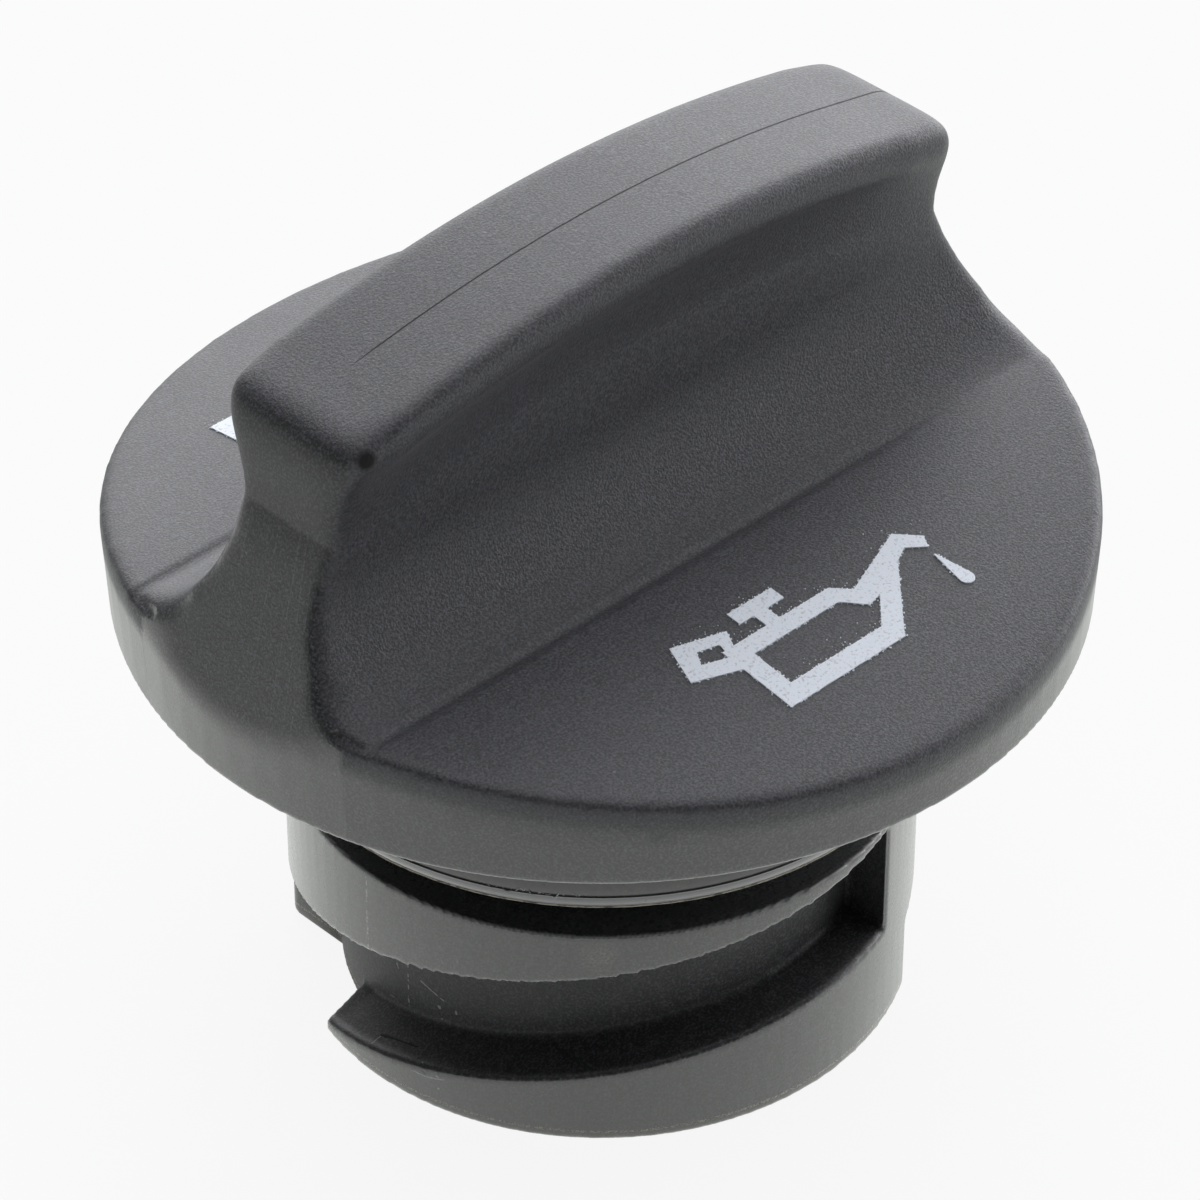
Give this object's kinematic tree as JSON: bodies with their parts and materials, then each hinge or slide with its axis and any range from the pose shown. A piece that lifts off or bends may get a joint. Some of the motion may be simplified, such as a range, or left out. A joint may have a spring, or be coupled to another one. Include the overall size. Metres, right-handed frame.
{
  "type": "oil filler cap",
  "caption": "Moulded oil filler cap: crowned disc with an arched grip, a hollow bayonet plug below, a rubber sealing ring and printed oil can and arrow marks",
  "frame": {"origin": "Centre of the plug's lower end, on the turning axis", "axes": "+Z is the turning axis and points out of the engine, X runs along the grip, -Y is the side that carries the oil can mark"},
  "size_m": [0.0644, 0.0644, 0.0595],
  "materials": {
    "body_plastic": "matte, fine spark-eroded grain",
    "seal_rubber": "smooth, slightly dusty",
    "print_white": "matte white print"
  },
  "bodies": {
    "root": {"cap_body": "body_plastic", "seal_ring": "seal_rubber", "oil_can_mark": "print_white", "arrow_mark": "print_white"}
  },
  "joints": []
}
